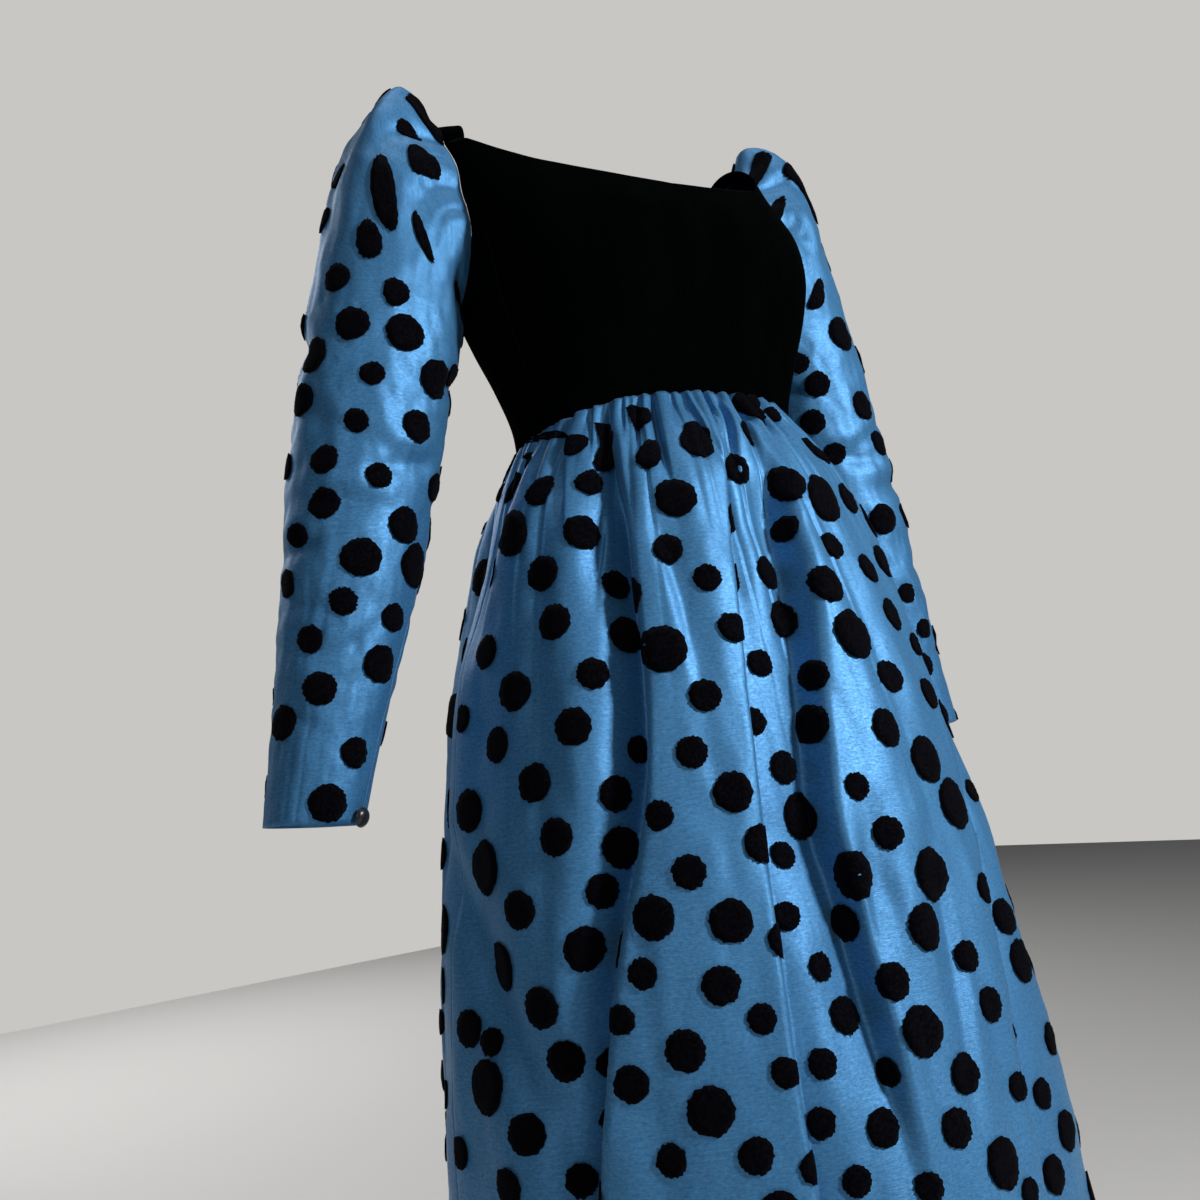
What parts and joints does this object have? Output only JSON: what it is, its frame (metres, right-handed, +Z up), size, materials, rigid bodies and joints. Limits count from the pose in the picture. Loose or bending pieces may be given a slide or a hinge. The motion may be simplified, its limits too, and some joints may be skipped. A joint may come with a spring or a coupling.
{
  "type": "evening dress",
  "caption": "Floor-length evening dress with a black velvet bodice, puffed long sleeves and a gathered blue taffeta skirt",
  "frame": {"origin": "middle of the line between the tops of the two shoulder straps, where the wearer's shoulders hold the dress up", "axes": "+Z up along the wearer; +X towards the wearer's left; -Y towards the front"},
  "size_m": [0.715, 0.5642, 1.4348],
  "materials": {
    "black_velvet": "deep matt pile",
    "blue_taffeta": "soft sheen with raised black dots",
    "black_satin": "satin",
    "black_thread": "matt"
  },
  "bodies": {
    "root": {"bodice_front": "black_velvet", "bodice_side_front_left": "black_velvet", "bodice_side_front_right": "black_velvet", "bodice_back_left": "black_velvet", "bodice_back_right": "black_velvet", "shoulder_strap_left": "black_velvet", "shoulder_strap_right": "black_velvet", "sleeve_left": "blue_taffeta", "sleeve_right": "blue_taffeta", "skirt_front": "blue_taffeta", "skirt_back_left": "blue_taffeta", "skirt_back_right": "blue_taffeta", "cuff_button_left": "black_satin", "cuff_button_right": "black_satin", "button_loop_left": "black_thread", "button_loop_right": "black_thread"}
  },
  "joints": []
}
